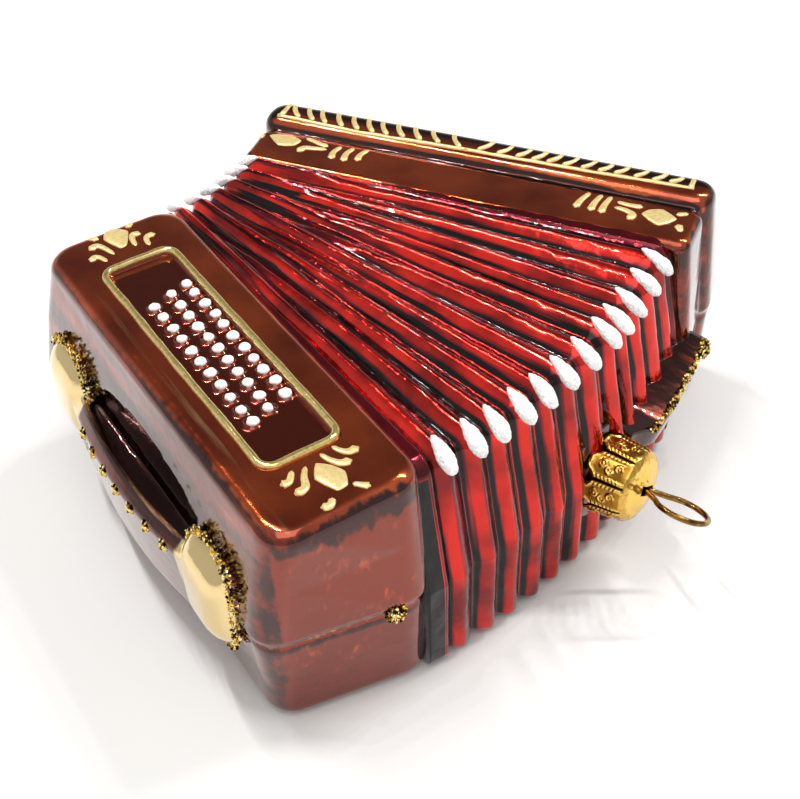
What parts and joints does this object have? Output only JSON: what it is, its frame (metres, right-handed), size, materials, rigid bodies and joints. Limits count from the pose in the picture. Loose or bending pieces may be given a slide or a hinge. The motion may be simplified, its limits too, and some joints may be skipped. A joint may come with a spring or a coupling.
{
  "type": "accordion christmas ornament",
  "caption": "Blown, silvered and lacquered glass tree ornament shaped like a button accordion, with a slip-on petal cap and a swinging wire hanger.",
  "frame": {"origin": "middle of the bounding box, on the surface that the back of the ornament lies on", "axes": "+X towards the hanger cap and ring, +Y towards the grille casing, +Z out of the decorated front"},
  "size_m": [0.1256, 0.1274, 0.0491],
  "materials": {
    "lacquered_glass": "glossy transparent red and brown lacquer over silvered glass",
    "gold_enamel": "satin pale gold enamel",
    "white_enamel": "rough crystalline white enamel",
    "gold_glitter": "granular gold glitter",
    "cap_brass": "bright stamped brass",
    "wire_gold": "dark gold plated spring wire"
  },
  "bodies": {
    "glass": {"glass_shell": "lacquered_glass", "bar_grille_far_1": "gold_enamel", "bar_grille_far_2": "gold_enamel", "bar_grille_far_3": "gold_enamel", "bar_grille_near_1": "gold_enamel", "bar_grille_near_2": "gold_enamel", "bar_grille_near_3": "gold_enamel", "curl_grille_far": "gold_enamel", "curl_grille_near": "gold_enamel", "flower_middle_button_far": "gold_enamel", "flower_middle_button_near": "gold_enamel", "flower_middle_grille_far": "gold_enamel", "flower_middle_grille_near": "gold_enamel", "glitter_stud_1": "gold_glitter", "glitter_stud_2": "gold_glitter", "glitter_stud_3": "gold_glitter", "glitter_stud_4": "gold_glitter", "glitter_stud_5": "gold_glitter", "glitter_stud_6": "gold_glitter", "glitter_stud_7": "gold_glitter", "glitter_stud_button_casing": "gold_glitter", "glitter_stud_grille_casing": "gold_glitter", "grille_gold_far": "gold_enamel", "grille_gold_near": "gold_enamel", "panel_frame_gold": "gold_enamel", "stroke_button_far_1": "gold_enamel", "stroke_button_far_2": "gold_enamel", "stroke_button_far_3": "gold_enamel", "stroke_button_far_4": "gold_enamel", "stroke_button_far_5": "gold_enamel", "stroke_button_far_6": "gold_enamel", "stroke_button_near_1": "gold_enamel", "stroke_button_near_2": "gold_enamel", "stroke_button_near_3": "gold_enamel", "stroke_button_near_4": "gold_enamel", "stroke_button_near_5": "gold_enamel", "stroke_button_near_6": "gold_enamel", "white_tip_far_01": "white_enamel", "white_tip_far_02": "white_enamel", "white_tip_far_03": "white_enamel", "white_tip_far_04": "white_enamel", "white_tip_far_05": "white_enamel", "white_tip_far_06": "white_enamel", "white_tip_near_01": "white_enamel", "white_tip_near_02": "white_enamel", "white_tip_near_03": "white_enamel", "white_tip_near_04": "white_enamel", "white_tip_near_05": "white_enamel", "white_tip_near_06": "white_enamel", "white_tip_near_07": "white_enamel", "white_tip_near_08": "white_enamel", "white_tip_near_09": "white_enamel", "white_tip_near_10": "white_enamel", "white_tip_near_11": "white_enamel", "white_tip_near_12": "white_enamel"},
    "cap": {"hanger_cap": "cap_brass"},
    "hanger": {"hanger_wire": "wire_gold"}
  },
  "joints": [
    {"name": "cap_lift", "type": "slide", "parent": "glass", "child": "cap", "axis": [0.998, 0.0326, 0.0541], "range_m": [0, 0.03]},
    {"name": "hanger_swing", "type": "hinge", "parent": "cap", "child": "hanger", "pos_m": [0.05056, 0.00758, 0.019], "axis": [0.0021, 0.8392, -0.5438], "range_deg": [-20, 8]}
  ]
}
